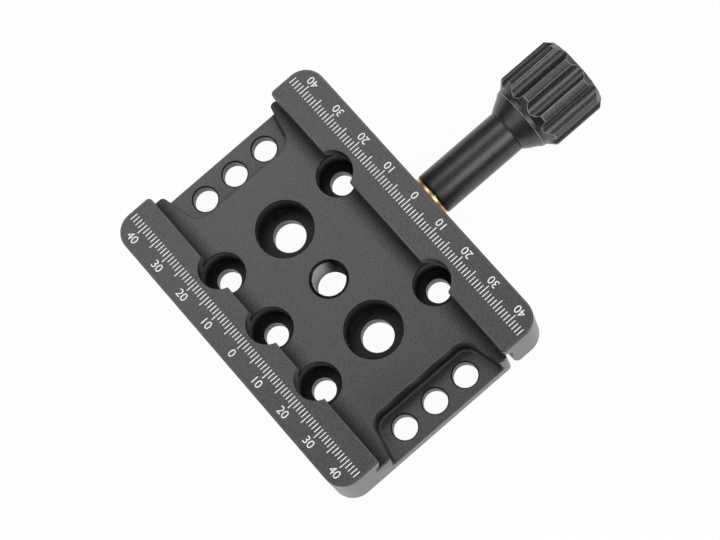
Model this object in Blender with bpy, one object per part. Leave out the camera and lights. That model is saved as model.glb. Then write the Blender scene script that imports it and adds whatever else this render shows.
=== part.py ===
"""Dovetail saddle clamp for camera plates: a base with a fixed jaw, a sliding jaw and a long clamp knob.

+X runs along the jaws, +Y from the fixed jaw towards the knob, +Z up. The origin is the centre of the
central tapped hole, in the plane of the underside. Sizes are metres, written in millimetres times MM.
"""
import math

import bmesh
import bpy
from mathutils import Matrix, Vector

MM = 0.001

# Clearances and edges
SEAT_GAP = 0.3 * MM  # between faces that rest on each other
RUN_GAP = 0.1 * MM  # radial, between a shaft or pin and its bore
EDGE = 0.3 * MM  # chamfer on outer edges
LIP_EDGE = 0.25 * MM  # chamfer on the inner edge of a lip
OVERCUT = 2.0 * MM  # how far a cutter runs past the face that it opens
SHARP_RADIUS = 0.02 * MM  # smallest radius of a plan corner
SMOOTH_ANGLE = math.radians(30)  # edges flatter than this are shaded smooth

# Base and fixed jaw
LENGTH = 90.7 * MM
BASE_THICKNESS = 11.2 * MM
CHANNEL_DEPTH = 6.4 * MM
JAW_WIDTH = 12.7 * MM
FIXED_LIP_Y = -20.5 * MM
LIP_LAND = 3.0 * MM  # height of a lip's upright edge above the dovetail slope
DOVETAIL_DEPTH = 1.35 * MM  # how far the slope runs back under the fixed lip, at 45 degrees
BASE_SIDE_Y = 20.4 * MM  # the base's long side beyond the tongue
OUTER_CORNER = 5.7 * MM
INNER_CORNER = 1.2 * MM

# Tongue of the base that reaches into the sliding jaw
TONGUE_INSET = 12.2 * MM  # from the base's end to the tongue's
TONGUE_REACH = 7.1 * MM
TONGUE_CORNER = 1.5 * MM
TONGUE_ROOT = 0.6 * MM  # where the tongue leaves the base; small enough for the jaw to close on it

# Sliding jaw
LIP_OPENING = 40.2 * MM  # between the two lips, as the clamp stands open here
JAW_GAP = 1.3 * MM  # between the base's side and the sliding jaw at rest
CLOSING_TRAVEL = 1.0 * MM
OPENING_TRAVEL = 4.0 * MM

# End pockets
POCKET_LENGTH = 11.0 * MM
POCKET_INNER_HALF = 15.3 * MM
POCKET_OUTER_HALF = 18.0 * MM
POCKET_CORNER = 4.0 * MM
POCKET_FILLET = 1.0 * MM
POCKET_FLOOR = 3.9 * MM
FILLET_STEPS = 3
END_HOLE_INSET = 5.5 * MM  # from the base's end to the row of holes
END_HOLE_PITCH = 9.95 * MM
END_HOLE_RADIUS = 3.25 * MM
END_HOLE_COUNT = 3

# Screw holes in the base
MOUNT_THREAD_RADIUS = 4.35 * MM
MOUNT_CHAMFER_RADIUS = 5.15 * MM
LARGE_HOLE_X = 17.5 * MM
LARGE_SINK_RADIUS = 7.45 * MM
LARGE_HOLE_RADIUS = 4.3 * MM
SMALL_HOLE_X = 19.0 * MM
SMALL_HOLE_Y = 19.0 * MM
SMALL_SINK_RADIUS = 5.5 * MM
SMALL_HOLE_RADIUS = 3.15 * MM
SINK_FLOOR = 3.9 * MM
HOLE_CHAMFER = 0.35 * MM
NOTCH_RADIUS = 5.6 * MM
NOTCH_SHIFT = 0.95 * MM  # the sliding jaw's notches sit over their holes when it opens by this much

# Clamp screw and knob, on one axis along Y
AXIS_Z = 7.0 * MM
SCREW_RADIUS = 3.0 * MM
SCREW_GRIP = 15.5 * MM  # length still in the base when the jaw is fully open
WASHER_RADIUS = 5.7 * MM
WASHER_THICKNESS = 1.0 * MM
SLEEVE_RADIUS = 5.85 * MM
SLEEVE_LENGTH = 24.4 * MM
CONE_LENGTH = 4.7 * MM
CONE_RADIUS = 8.9 * MM
NECK_LENGTH = 0.9 * MM
NECK_RADIUS = 8.3 * MM
GRIP_RADIUS = 11.0 * MM
GRIP_LENGTH = 17.8 * MM
GRIP_CHAMFER = 2.0 * MM
RIB_COUNT = 9
RIB_PHASE = math.radians(19.5)  # of one rib, from +Z towards +X
RIB_TOP_HALF = math.radians(7.0)
RIB_SIDE_HALF = math.radians(10.3)
RIB_SHOULDER = 0.93  # height between top and side, as a share of the rib's height
RIB_SIDE = 0.72
FLOOR_HALF = math.radians(7.0)
FLOOR_RADIUS = 9.4 * MM
SCREW_IN_KNOB = 17.0 * MM
END_DISH = 0.6 * MM

# Guide pins and return springs
PIN_INSET = 4.5 * MM  # from the tongue's end
PIN_RADIUS = 1.5 * MM
PIN_GRIP = 9.5 * MM  # length still in the base when the jaw is fully open
PIN_IN_JAW = 2.4 * MM
SPRING_X = 9.6 * MM
SPRING_RADIUS = 2.0 * MM  # outer
WIRE_RADIUS = 0.3 * MM
SPRING_TURNS = 7
SPRING_STEPS = 12  # rings of the wire in one turn
WIRE_SIDES = 6
END_TURN_GAP = 0.1 * MM  # between the close turns at a spring's ends
SPRING_POCKET_DEPTH = 10.0 * MM

ROUND_SEGMENTS = 40
SMALL_SEGMENTS = 28
PIN_SEGMENTS = 16
CORNER_SEGMENTS = 6

# Worked out from the sizes above
JAW_TOP = BASE_THICKNESS + CHANNEL_DEPTH
POCKET_WALL_X = LENGTH / 2 - POCKET_LENGTH
END_HOLE_X = LENGTH / 2 - END_HOLE_INSET
TONGUE_HALF_LENGTH = LENGTH / 2 - TONGUE_INSET
PIN_X = TONGUE_HALF_LENGTH - PIN_INSET
FIXED_OUTER_Y = FIXED_LIP_Y - JAW_WIDTH
TONGUE_Y = BASE_SIDE_Y + TONGUE_REACH
MOVING_LIP_Y = FIXED_LIP_Y + LIP_OPENING
MOVING_OUTER_Y = MOVING_LIP_Y + JAW_WIDTH
LEG_Y = BASE_SIDE_Y + JAW_GAP
WALL_INNER_Y = TONGUE_Y + JAW_GAP
WASHER_Y = MOVING_OUTER_Y + SEAT_GAP
SLEEVE_Y = WASHER_Y + WASHER_THICKNESS + SEAT_GAP
KNOB_Y = SLEEVE_Y + SLEEVE_LENGTH + SEAT_GAP
SCREW_IN_BASE = SCREW_GRIP + OPENING_TRAVEL
PIN_IN_BASE = PIN_GRIP + OPENING_TRAVEL


def clear_scene():
    for item in list(bpy.data.objects):
        bpy.data.objects.remove(item, do_unlink=True)


def material(name, colour, roughness, metallic):
    result = bpy.data.materials.new(name)
    result.use_nodes = True
    shader = result.node_tree.nodes["Principled BSDF"]
    shader.inputs["Base Color"].default_value = (*colour, 1.0)
    shader.inputs["Roughness"].default_value = roughness
    shader.inputs["Metallic"].default_value = metallic
    return result


def add_object(name, work, origin=(0.0, 0.0, 0.0)):
    """Turns a bmesh in world coordinates into an object whose own origin is at the given point."""
    bmesh.ops.recalc_face_normals(work, faces=work.faces)
    bmesh.ops.translate(work, verts=work.verts, vec=-Vector(origin))
    mesh = bpy.data.meshes.new(name)
    work.to_mesh(mesh)
    work.free()
    mesh.shade_smooth()
    mesh.set_sharp_from_angle(angle=SMOOTH_ANGLE)
    result = bpy.data.objects.new(name, mesh)
    result.location = origin
    bpy.context.scene.collection.objects.link(result)
    return result


def cut(target, cutter, operation="DIFFERENCE"):
    modifier = target.modifiers.new(cutter.name, "BOOLEAN")
    modifier.operation = operation
    modifier.solver = "EXACT"
    modifier.object = cutter
    cutter.hide_render = True
    cutter.display_type = "WIRE"


def filleted_outline(corners, inset=0.0):
    """Points round a counterclockwise outline of (x, y, radius) corners, moved inwards by inset."""
    count = len(corners)
    points = []
    for index, (x, y, radius) in enumerate(corners):
        here = Vector((x, y))
        before = (here - Vector(corners[index - 1][:2])).normalized()
        after = (Vector(corners[(index + 1) % count][:2]) - here).normalized()
        turn = math.atan2(before.cross(after), before.dot(after))
        inward_before = Vector((-before.y, before.x))
        inward_after = Vector((-after.y, after.x))
        bisector = (inward_before + inward_after).normalized()
        tip = here + bisector * (inset / bisector.dot(inward_before))
        radius = max(radius - math.copysign(inset, turn), SHARP_RADIUS)
        reach = radius * math.tan(abs(turn) / 2)
        centre = tip - before * reach + inward_before * math.copysign(radius, turn)
        arm = (tip - before * reach) - centre
        for step in range(CORNER_SEGMENTS + 1):
            angle = turn * step / CORNER_SEGMENTS
            points.append(centre + Matrix.Rotation(angle, 2) @ arm)
    return points


def bridge_rings(work, rings, closed_ends=True):
    """Joins rings of equal length with quads, and fills the first and last."""
    for lower, upper in zip(rings, rings[1:]):
        for index in range(len(lower)):
            after = (index + 1) % len(lower)
            work.faces.new((lower[index], lower[after], upper[after], upper[index]))
    if closed_ends:
        work.faces.new(rings[0])
        work.faces.new(rings[-1])


def outlined_block(name, corners, profile):
    """A block over a plan outline; profile lists (height, inset) from the bottom up."""
    work = bmesh.new()
    rings = []
    for height, inset in profile:
        outline = filleted_outline(corners, inset)
        rings.append([work.verts.new((point.x, point.y, height)) for point in outline])
    bridge_rings(work, rings)
    return add_object(name, work)


def section_bar(name, section):
    """A bar of one (y, z) section along X, longer than the clamp so that the plan outline trims it."""
    work = bmesh.new()
    half = LENGTH / 2 + OVERCUT
    rings = []
    for x in (-half, half):
        rings.append([work.verts.new((x, y, z)) for y, z in section])
    bridge_rings(work, rings)
    return add_object(name, work)


def turned_rings(work, profile, place, axis, segments):
    """Rings of vertices for a (distance along axis, radius) profile, with the axis along Z or Y."""
    frame = Matrix.Translation(place)
    if axis == "Y":
        frame = frame @ Matrix.Rotation(-math.pi / 2, 4, "X")
    rings = []
    for along, radius in profile:
        ring = []
        for step in range(segments):
            angle = math.tau * step / segments
            point = frame @ Vector((radius * math.cos(angle), radius * math.sin(angle), along))
            ring.append(work.verts.new(point))
        rings.append(ring)
    return rings


def turned(name, profile, place, axis="Z", segments=ROUND_SEGMENTS, origin=(0.0, 0.0, 0.0)):
    """A turned solid with flat ends."""
    work = bmesh.new()
    bridge_rings(work, turned_rings(work, profile, place, axis, segments))
    return add_object(name, work, origin)


def turned_tube(name, profile, place, origin):
    """A turned ring along Y whose (distance, radius) profile closes on itself."""
    work = bmesh.new()
    rings = turned_rings(work, profile, place, "Y", ROUND_SEGMENTS)
    bridge_rings(work, rings + rings[:1], closed_ends=False)
    return add_object(name, work, origin)


def stepped_hole(name, x, y, hole_radius, sink_radius, top):
    """A through hole with a flat counterbore, both with chamfered mouths."""
    profile = [
        (-OVERCUT, hole_radius + HOLE_CHAMFER),
        (0.0, hole_radius + HOLE_CHAMFER),
        (HOLE_CHAMFER, hole_radius),
        (SINK_FLOOR - HOLE_CHAMFER, hole_radius),
        (SINK_FLOOR, hole_radius + HOLE_CHAMFER),
        (SINK_FLOOR, sink_radius),
        (top + OVERCUT, sink_radius),
    ]
    return turned(name, profile, (x, y, 0.0), segments=SMALL_SEGMENTS)


def plain_hole(name, x, y, radius, mouth_radius, top):
    """A straight through hole with a chamfer at both faces."""
    chamfer = mouth_radius - radius
    profile = [
        (-OVERCUT, mouth_radius),
        (0.0, mouth_radius),
        (chamfer, radius),
        (top - chamfer, radius),
        (top, mouth_radius),
        (top + OVERCUT, mouth_radius),
    ]
    return turned(name, profile, (x, y, 0.0), segments=SMALL_SEGMENTS)


def blind_bore(name, x, depth, radius):
    """A flat-bottomed bore along Y, cut from the tongue's end towards the fixed jaw."""
    profile = [(-depth, radius), (OVERCUT, radius)]
    return turned(name, profile, (x, TONGUE_Y, AXIS_Z), axis="Y", segments=SMALL_SEGMENTS)


def chamfered(bottom, top):
    return [(bottom, EDGE), (bottom + EDGE, 0.0), (top - EDGE, 0.0), (top, EDGE)]


def small_hole_places():
    places = [(x, -SMALL_HOLE_Y) for x in (-SMALL_HOLE_X, 0.0, SMALL_HOLE_X)]
    return places + [(x, SMALL_HOLE_Y) for x in (-SMALL_HOLE_X, SMALL_HOLE_X)]


def base_outline():
    """The base's plan: round corners at the fixed jaw and a tongue towards the sliding jaw."""
    end = LENGTH / 2
    return [
        (-end, FIXED_OUTER_Y, OUTER_CORNER),
        (end, FIXED_OUTER_Y, OUTER_CORNER),
        (end, BASE_SIDE_Y, INNER_CORNER),
        (TONGUE_HALF_LENGTH, BASE_SIDE_Y, TONGUE_ROOT),
        (TONGUE_HALF_LENGTH, TONGUE_Y, TONGUE_CORNER),
        (-TONGUE_HALF_LENGTH, TONGUE_Y, TONGUE_CORNER),
        (-TONGUE_HALF_LENGTH, BASE_SIDE_Y, TONGUE_ROOT),
        (-end, BASE_SIDE_Y, INNER_CORNER),
    ]


def base_section():
    """The base across its length: floor, dovetail relief under the fixed lip, and the fixed jaw."""
    wall_y = FIXED_LIP_Y - DOVETAIL_DEPTH
    far_y = TONGUE_Y + OVERCUT
    return [
        (FIXED_OUTER_Y - OVERCUT, -OVERCUT),
        (far_y, -OVERCUT),
        (far_y, BASE_THICKNESS),
        (wall_y, BASE_THICKNESS),
        (wall_y, JAW_TOP - LIP_LAND - DOVETAIL_DEPTH),
        (FIXED_LIP_Y, JAW_TOP - LIP_LAND),
        (FIXED_LIP_Y, JAW_TOP - LIP_EDGE),
        (FIXED_LIP_Y - LIP_EDGE, JAW_TOP),
        (FIXED_LIP_Y - LIP_EDGE, JAW_TOP + OVERCUT),
        (FIXED_OUTER_Y - OVERCUT, JAW_TOP + OVERCUT),
    ]


def end_pocket(name, side):
    """The open pocket at one end, with flared sides and a filleted floor."""
    end = LENGTH / 2
    flare = (POCKET_OUTER_HALF - POCKET_INNER_HALF) / (end - POCKET_WALL_X)
    far_x = end + POCKET_CORNER
    far_half = POCKET_INNER_HALF + flare * (far_x - POCKET_WALL_X)
    corners = [
        (POCKET_WALL_X, POCKET_INNER_HALF, POCKET_CORNER),
        (POCKET_WALL_X, -POCKET_INNER_HALF, POCKET_CORNER),
        (far_x, -far_half, 0.0),
        (far_x, far_half, 0.0),
    ]
    if side < 0:
        corners = [(-x, y, radius) for x, y, radius in reversed(corners)]
    profile = []
    for step in range(FILLET_STEPS + 1):
        angle = math.pi / 2 * step / FILLET_STEPS
        rise = POCKET_FILLET * (1 - math.cos(angle))
        inset = POCKET_FILLET * (1 - math.sin(angle))
        profile.append((POCKET_FLOOR + rise, inset))
    profile.append((BASE_THICKNESS + OVERCUT, 0.0))
    return outlined_block(name, corners, profile)


def make_base(finish):
    base = section_bar("clamp_body", base_section())
    outline = outlined_block("body_outline", base_outline(), chamfered(0.0, JAW_TOP))
    cut(base, outline, "INTERSECT")
    for side in (-1, 1):
        cut(base, end_pocket(f"end_pocket_{side}", side))
        for row in range(END_HOLE_COUNT):
            y = (row - (END_HOLE_COUNT - 1) / 2) * END_HOLE_PITCH
            mouth = END_HOLE_RADIUS + HOLE_CHAMFER
            name = f"end_hole_{side}_{row}"
            cut(base, plain_hole(name, side * END_HOLE_X, y, END_HOLE_RADIUS, mouth, POCKET_FLOOR))
        sink = (LARGE_HOLE_RADIUS, LARGE_SINK_RADIUS, BASE_THICKNESS)
        cut(base, stepped_hole(f"large_hole_{side}", side * LARGE_HOLE_X, 0.0, *sink))
        pin_depth = PIN_IN_BASE + CLOSING_TRAVEL + SEAT_GAP
        cut(base, blind_bore(f"pin_bore_{side}", side * PIN_X, pin_depth, PIN_RADIUS + RUN_GAP))
        name = f"spring_pocket_{side}"
        cut(base, blind_bore(name, side * SPRING_X, SPRING_POCKET_DEPTH, SPRING_RADIUS + SEAT_GAP))
    for index, (x, y) in enumerate(small_hole_places()):
        cut(base, stepped_hole(f"small_hole_{index}", x, y, SMALL_HOLE_RADIUS, SMALL_SINK_RADIUS, JAW_TOP))
    central = (MOUNT_THREAD_RADIUS, MOUNT_CHAMFER_RADIUS, BASE_THICKNESS)
    cut(base, plain_hole("mount_hole", 0.0, 0.0, *central))
    screw_depth = SCREW_IN_BASE + CLOSING_TRAVEL + SEAT_GAP
    cut(base, blind_bore("screw_bore", 0.0, screw_depth, SCREW_RADIUS + RUN_GAP))
    base.data.materials.append(finish)
    return base


def jaw_section():
    """The sliding jaw across its length: a lip with a dovetail slope above a full-height leg."""
    slope = LEG_Y - MOVING_LIP_Y
    return [
        (LEG_Y, -OVERCUT),
        (MOVING_OUTER_Y + OVERCUT, -OVERCUT),
        (MOVING_OUTER_Y + OVERCUT, JAW_TOP + OVERCUT),
        (MOVING_LIP_Y + LIP_EDGE, JAW_TOP + OVERCUT),
        (MOVING_LIP_Y + LIP_EDGE, JAW_TOP),
        (MOVING_LIP_Y, JAW_TOP - LIP_EDGE),
        (MOVING_LIP_Y, JAW_TOP - LIP_LAND),
        (LEG_Y, JAW_TOP - LIP_LAND - slope),
    ]


def jaw_outline():
    end = LENGTH / 2
    return [
        (-end, MOVING_LIP_Y, INNER_CORNER),
        (end, MOVING_LIP_Y, INNER_CORNER),
        (end, MOVING_OUTER_Y, OUTER_CORNER),
        (-end, MOVING_OUTER_Y, OUTER_CORNER),
    ]


def tongue_room():
    """The space that the base's tongue takes inside the sliding jaw, open below and inwards."""
    half = TONGUE_HALF_LENGTH + SEAT_GAP
    corners = [
        (-half, MOVING_LIP_Y - OVERCUT, 0.0),
        (half, MOVING_LIP_Y - OVERCUT, 0.0),
        (half, WALL_INNER_Y, TONGUE_CORNER),
        (-half, WALL_INNER_Y, TONGUE_CORNER),
    ]
    top = BASE_THICKNESS + SEAT_GAP
    return outlined_block("tongue_room", corners, [(-OVERCUT, 0.0), (top, 0.0)])


def make_jaw(finish):
    jaw = section_bar("moving_jaw", jaw_section())
    outline = outlined_block("jaw_outline", jaw_outline(), chamfered(0.0, JAW_TOP))
    cut(jaw, outline, "INTERSECT")
    cut(jaw, tongue_room())
    for side in (-1, 1):
        notch = [(-OVERCUT, NOTCH_RADIUS), (JAW_TOP + OVERCUT, NOTCH_RADIUS)]
        place = (side * SMALL_HOLE_X, SMALL_HOLE_Y - NOTCH_SHIFT, 0.0)
        cut(jaw, turned(f"jaw_notch_{side}", notch, place, segments=ROUND_SEGMENTS))
        bore_depth = PIN_IN_JAW + SEAT_GAP
        profile = [(-OVERCUT, PIN_RADIUS + RUN_GAP), (bore_depth, PIN_RADIUS + RUN_GAP)]
        place = (side * PIN_X, WALL_INNER_Y, AXIS_Z)
        cut(jaw, turned(f"jaw_pin_bore_{side}", profile, place, axis="Y", segments=SMALL_SEGMENTS))
    wall = MOVING_OUTER_Y - WALL_INNER_Y
    through = [(-OVERCUT, SCREW_RADIUS + SEAT_GAP), (wall + OVERCUT, SCREW_RADIUS + SEAT_GAP)]
    cut(jaw, turned("jaw_screw_hole", through, (0.0, WALL_INNER_Y, AXIS_Z), axis="Y"))
    jaw.data.materials.append(finish)
    return jaw


def make_screw(finish):
    """The clamp screw: its threaded end sits in the base and its other end in the knob."""
    start = TONGUE_Y - SCREW_IN_BASE
    end = KNOB_Y + SCREW_IN_KNOB
    chamfer = 2 * EDGE
    profile = [
        (start, SCREW_RADIUS - chamfer),
        (start + chamfer, SCREW_RADIUS),
        (end - chamfer, SCREW_RADIUS),
        (end, SCREW_RADIUS - chamfer),
    ]
    place = (0.0, 0.0, AXIS_Z)
    screw = turned("clamp_screw", profile, place, axis="Y", segments=SMALL_SEGMENTS, origin=knob_origin())
    screw.data.materials.append(finish)
    return screw


def knob_origin():
    """A point on the knob's turning axis, at the sliding jaw's outer face."""
    return (0.0, MOVING_OUTER_Y, AXIS_Z)


def make_washer(finish):
    bore = SCREW_RADIUS + SEAT_GAP
    chamfer = EDGE / 2
    profile = [
        (0.0, bore),
        (WASHER_THICKNESS, bore),
        (WASHER_THICKNESS, WASHER_RADIUS - chamfer),
        (WASHER_THICKNESS - chamfer, WASHER_RADIUS),
        (chamfer, WASHER_RADIUS),
        (0.0, WASHER_RADIUS - chamfer),
    ]
    washer = turned_tube("thrust_washer", profile, (0.0, WASHER_Y, AXIS_Z), knob_origin())
    washer.data.materials.append(finish)
    return washer


def make_sleeve(finish):
    bore = SCREW_RADIUS + SEAT_GAP
    profile = [
        (0.0, bore),
        (SLEEVE_LENGTH, bore),
        (SLEEVE_LENGTH, SLEEVE_RADIUS - EDGE),
        (SLEEVE_LENGTH - EDGE, SLEEVE_RADIUS),
        (EDGE, SLEEVE_RADIUS),
        (0.0, SLEEVE_RADIUS - EDGE),
    ]
    sleeve = turned_tube("knob_sleeve", profile, (0.0, SLEEVE_Y, AXIS_Z), knob_origin())
    sleeve.data.materials.append(finish)
    return sleeve


def rib_section():
    """(angle, height) round the grip; height 0 is a groove's floor and 1 a rib's top."""
    pitch = math.tau / RIB_COUNT
    shoulder = (RIB_TOP_HALF + RIB_SIDE_HALF) / 2
    half = [
        (0.0, 1.0),
        (RIB_TOP_HALF / 2, 1.0),
        (RIB_TOP_HALF, 1.0),
        (shoulder, RIB_SHOULDER),
        (RIB_SIDE_HALF, RIB_SIDE),
        (pitch / 2 - FLOOR_HALF, 0.0),
        (pitch / 2, 0.0),
    ]
    points = []
    for rib in range(RIB_COUNT):
        centre = RIB_PHASE + rib * pitch
        points += [(centre - angle, height) for angle, height in reversed(half[1:-1])]
        points += [(centre + angle, height) for angle, height in half]
    return points


def make_knob(finish):
    """The knob: a cone that flares from the sleeve, and a grip with ribs chamfered at both ends."""
    work = bmesh.new()
    section = rib_section()
    bore = SCREW_RADIUS + RUN_GAP
    grip_start = CONE_LENGTH + NECK_LENGTH
    grip_end = grip_start + GRIP_LENGTH
    bore_end = SCREW_IN_KNOB + SEAT_GAP
    end_radius = GRIP_RADIUS - GRIP_CHAMFER
    dish_radius = end_radius - GRIP_CHAMFER
    # Distance along Y, radius on a groove floor, radius on a rib top
    stations = [
        (bore_end, bore, bore),
        (0.0, bore, bore),
        (0.0, SLEEVE_RADIUS - EDGE, SLEEVE_RADIUS - EDGE),
        (EDGE, SLEEVE_RADIUS, SLEEVE_RADIUS),
        (CONE_LENGTH, CONE_RADIUS, CONE_RADIUS),
        (grip_start, NECK_RADIUS, NECK_RADIUS + EDGE),
        (grip_start + GRIP_CHAMFER, FLOOR_RADIUS, GRIP_RADIUS),
        (grip_end - GRIP_CHAMFER, FLOOR_RADIUS, GRIP_RADIUS),
        (grip_end, NECK_RADIUS, end_radius),
        (grip_end, dish_radius, dish_radius),
        (grip_end - END_DISH, dish_radius - END_DISH, dish_radius - END_DISH),
    ]
    rings = []
    for along, floor_radius, rib_radius in stations:
        ring = []
        for angle, height in section:
            radius = floor_radius + (rib_radius - floor_radius) * height
            place = (radius * math.sin(angle), KNOB_Y + along, AXIS_Z + radius * math.cos(angle))
            ring.append(work.verts.new(place))
        rings.append(ring)
    bridge_rings(work, rings)
    knob = add_object("knob_grip", work, knob_origin())
    knob.data.materials.append(finish)
    return knob


def make_pin(name, x, finish):
    start = TONGUE_Y - PIN_IN_BASE
    end = WALL_INNER_Y + PIN_IN_JAW
    profile = [
        (start, PIN_RADIUS - EDGE),
        (start + EDGE, PIN_RADIUS),
        (end - EDGE, PIN_RADIUS),
        (end, PIN_RADIUS - EDGE),
    ]
    head = (x, end, AXIS_Z)
    pin = turned(name, profile, (x, 0.0, AXIS_Z), axis="Y", segments=PIN_SEGMENTS, origin=head)
    pin.data.materials.append(finish)
    return pin


def make_spring(name, x, finish):
    """A compression spring with close end turns, as one closed tube along a helix."""
    start = TONGUE_Y - SPRING_POCKET_DEPTH + SEAT_GAP + WIRE_RADIUS
    end = WALL_INNER_Y - SEAT_GAP - WIRE_RADIUS
    coil_radius = SPRING_RADIUS - WIRE_RADIUS
    close_pitch = 2 * WIRE_RADIUS + END_TURN_GAP
    open_turns = SPRING_TURNS - 2
    open_pitch = (end - start - 2 * close_pitch) / open_turns
    work = bmesh.new()
    rings = []
    for step in range(SPRING_TURNS * SPRING_STEPS + 1):
        turn = step / SPRING_STEPS
        closed = min(turn, 1.0) + max(turn - (SPRING_TURNS - 1), 0.0)
        y = start + closed * close_pitch + (turn - closed) * open_pitch
        angle = math.tau * turn
        outward = Vector((math.cos(angle), 0.0, math.sin(angle)))
        centre = Vector((x, y, AXIS_Z)) + outward * coil_radius
        ring = []
        for side in range(WIRE_SIDES):
            around = math.tau * side / WIRE_SIDES
            offset = outward * math.cos(around) + Vector((0.0, math.sin(around), 0.0))
            ring.append(work.verts.new(centre + offset * WIRE_RADIUS))
        rings.append(ring)
    bridge_rings(work, rings)
    spring = add_object(name, work, (x, start - WIRE_RADIUS, AXIS_Z))
    spring.data.materials.append(finish)
    return spring


def build():
    clear_scene()
    anodised = material("anodised_aluminium", (0.040, 0.040, 0.042), 0.48, 0.55)
    satin = material("satin_black_metal", (0.030, 0.030, 0.032), 0.36, 0.60)
    brass = material("brass", (0.70, 0.50, 0.25), 0.30, 1.0)
    steel = material("steel", (0.55, 0.55, 0.56), 0.30, 1.0)
    make_base(anodised)
    make_jaw(anodised)
    make_screw(steel)
    make_washer(brass)
    make_sleeve(satin)
    make_knob(satin)
    for number, side in ((1, -1), (2, 1)):
        make_pin(f"guide_pin_{number}", side * PIN_X, steel)
        make_spring(f"return_spring_{number}", side * SPRING_X, steel)


build()
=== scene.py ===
"""Dovetail saddle clamp: the looks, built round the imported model. Metres, in the frame of the model."""
import math

import bmesh
import bpy
import numpy as np
from mathutils import Matrix, Vector


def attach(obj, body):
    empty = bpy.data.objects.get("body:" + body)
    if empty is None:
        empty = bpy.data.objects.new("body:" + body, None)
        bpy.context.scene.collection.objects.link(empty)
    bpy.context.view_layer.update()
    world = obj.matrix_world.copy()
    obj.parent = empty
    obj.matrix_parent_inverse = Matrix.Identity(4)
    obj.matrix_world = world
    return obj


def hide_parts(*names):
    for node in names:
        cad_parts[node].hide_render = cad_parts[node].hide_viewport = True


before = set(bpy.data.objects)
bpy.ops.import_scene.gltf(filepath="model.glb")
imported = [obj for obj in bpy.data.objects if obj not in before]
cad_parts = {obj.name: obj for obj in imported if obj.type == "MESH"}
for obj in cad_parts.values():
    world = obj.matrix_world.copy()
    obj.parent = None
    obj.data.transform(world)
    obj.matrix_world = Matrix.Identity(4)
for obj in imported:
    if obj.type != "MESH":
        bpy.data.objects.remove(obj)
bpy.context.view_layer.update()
mm = 0.001


# The camera stands where the photographer's stood. Its place and its long lens come from the millimetre marks
# on both jaws: one pinhole camera was fitted to all of them.
def placed(name, data):
    """An object with the data, in the scene."""
    made = bpy.data.objects.new(name, data)
    bpy.context.scene.collection.objects.link(made)
    return made


lens_in_pixels = 2759.75
photo_width = 720
camera_data = bpy.data.cameras.new("photo_view")
camera_data.sensor_width = 36.0
camera_data.lens = lens_in_pixels / photo_width * camera_data.sensor_width
camera_data.clip_start = 0.05
camera_data.clip_end = 20.0
camera = placed("photo_view", camera_data)
camera_place = (0.193726, -0.024884, 0.674652)
sight_right = Vector((0.638403, 0.755673, -0.146284))
sight_up = Vector((-0.718805, 0.653285, 0.237777))
sight_back = Vector((0.275247, -0.046648, 0.960241))
camera_turn = Matrix((sight_right, sight_up, sight_back)).transposed()
camera.matrix_world = Matrix.Translation(camera_place) @ camera_turn.to_4x4()
bpy.context.scene.camera = camera
bpy.context.scene.view_settings.view_transform = "Standard"


# The table and the light. The clamp lies on a white table on its fixed jaw's edge and the knob's lowest land,
# so the table slopes a little in the clamp's frame. Two long lamps hang to its left and right, two smaller
# ones stand behind the knob and before the fixed jaw, and the room is pale.
class Value:
    """A number or colour on its way through a material: arithmetic on it adds Math nodes."""

    def __init__(self, socket):
        self.socket = socket

    def _math(self, operation, *values):
        tree = self.socket.id_data
        node = tree.nodes.new("ShaderNodeMath")
        node.operation = operation
        for place, value in zip(node.inputs, values):
            if isinstance(value, Value):
                tree.links.new(value.socket, place)
            else:
                place.default_value = value
        return Value(node.outputs[0])

    def __add__(self, other):
        return self._math("ADD", self, other)

    def __sub__(self, other):
        return self._math("SUBTRACT", self, other)

    def __rsub__(self, other):
        return self._math("SUBTRACT", other, self)

    def __mul__(self, other):
        return self._math("MULTIPLY", self, other)

    def size(self):
        return self._math("ABSOLUTE", self)

    def largest(self, other):
        return self._math("MAXIMUM", self, other)

    def smallest(self, other):
        return self._math("MINIMUM", self, other)

    def held(self, low, high):
        """The value, kept between low and high."""
        return self.largest(low).smallest(high)

    def wave(self):
        """From 0 to 1 and back as the value goes through one full turn."""
        return self._math("SINE", self) * 0.5 + 0.5


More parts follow.
